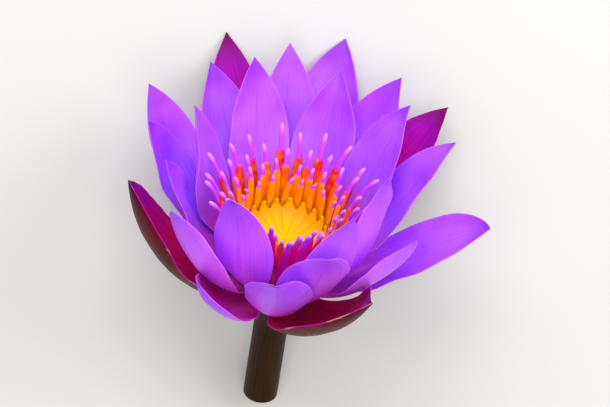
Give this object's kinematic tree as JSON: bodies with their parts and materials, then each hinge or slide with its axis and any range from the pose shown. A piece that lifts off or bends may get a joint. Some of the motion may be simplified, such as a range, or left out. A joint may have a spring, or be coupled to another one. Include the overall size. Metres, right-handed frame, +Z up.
{
  "type": "water lily flower",
  "caption": "Open tropical water lily flower, picked with a short stem and lying down: sepals, pointed petals, strap stamens and a stigma disc.",
  "frame": {"origin": "centre of the underside of the bounding box, on the surface that the flower lies on", "axes": "+Z up, +Y along the ground towards the cut end of the stem, so the flower opens towards -Y and upwards; +X to the right seen from the mouth side"},
  "size_m": [0.117, 0.1224, 0.1067],
  "materials": {
    "petal": "soft satin petal tissue",
    "sepal": "firm waxy sepal tissue",
    "stamen": "satin stamen tissue",
    "stigma": "moist satin stigma tissue",
    "stem": "smooth waxy stem"
  },
  "bodies": {
    "root": {"petal_inner_1": "petal", "petal_inner_2": "petal", "petal_inner_3": "petal", "petal_inner_4": "petal", "petal_inner_5": "petal", "petal_inner_6": "petal", "petal_inner_7": "petal", "petal_middle_1": "petal", "petal_middle_2": "petal", "petal_middle_3": "petal", "petal_middle_4": "petal", "petal_middle_5": "petal", "petal_middle_6": "petal", "petal_middle_7": "petal", "petal_middle_8": "petal", "petal_outer_1": "petal", "petal_outer_2": "petal", "petal_outer_3": "petal", "petal_outer_4": "petal", "petal_outer_5": "petal", "petal_outer_6": "petal", "sepal_1": "sepal", "sepal_2": "sepal", "sepal_3": "sepal", "sepal_4": "sepal", "stamen_outer_01": "stamen", "stamen_outer_02": "stamen", "stamen_outer_03": "stamen", "stamen_outer_04": "stamen", "stamen_outer_05": "stamen", "stamen_outer_06": "stamen", "stamen_outer_07": "stamen", "stamen_outer_08": "stamen", "stamen_outer_09": "stamen", "stamen_outer_10": "stamen", "stamen_outer_11": "stamen", "stamen_outer_12": "stamen", "stamen_outer_13": "stamen", "stamen_outer_14": "stamen", "stamen_outer_15": "stamen", "stamen_outer_16": "stamen", "stamen_outer_17": "stamen", "stamen_outer_18": "stamen", "stamen_outer_19": "stamen", "stamen_outer_20": "stamen", "stamens_inner_1": "stamen", "stamens_inner_2": "stamen", "stamens_inner_3": "stamen", "stamens_inner_4": "stamen", "stamens_second_1": "stamen", "stamens_second_2": "stamen", "stamens_second_3": "stamen", "stamens_second_4": "stamen", "stamens_third_1": "stamen", "stamens_third_2": "stamen", "stamens_third_3": "stamen", "stamens_third_4": "stamen", "stem": "stem", "stigma_disc": "stigma"}
  },
  "joints": []
}
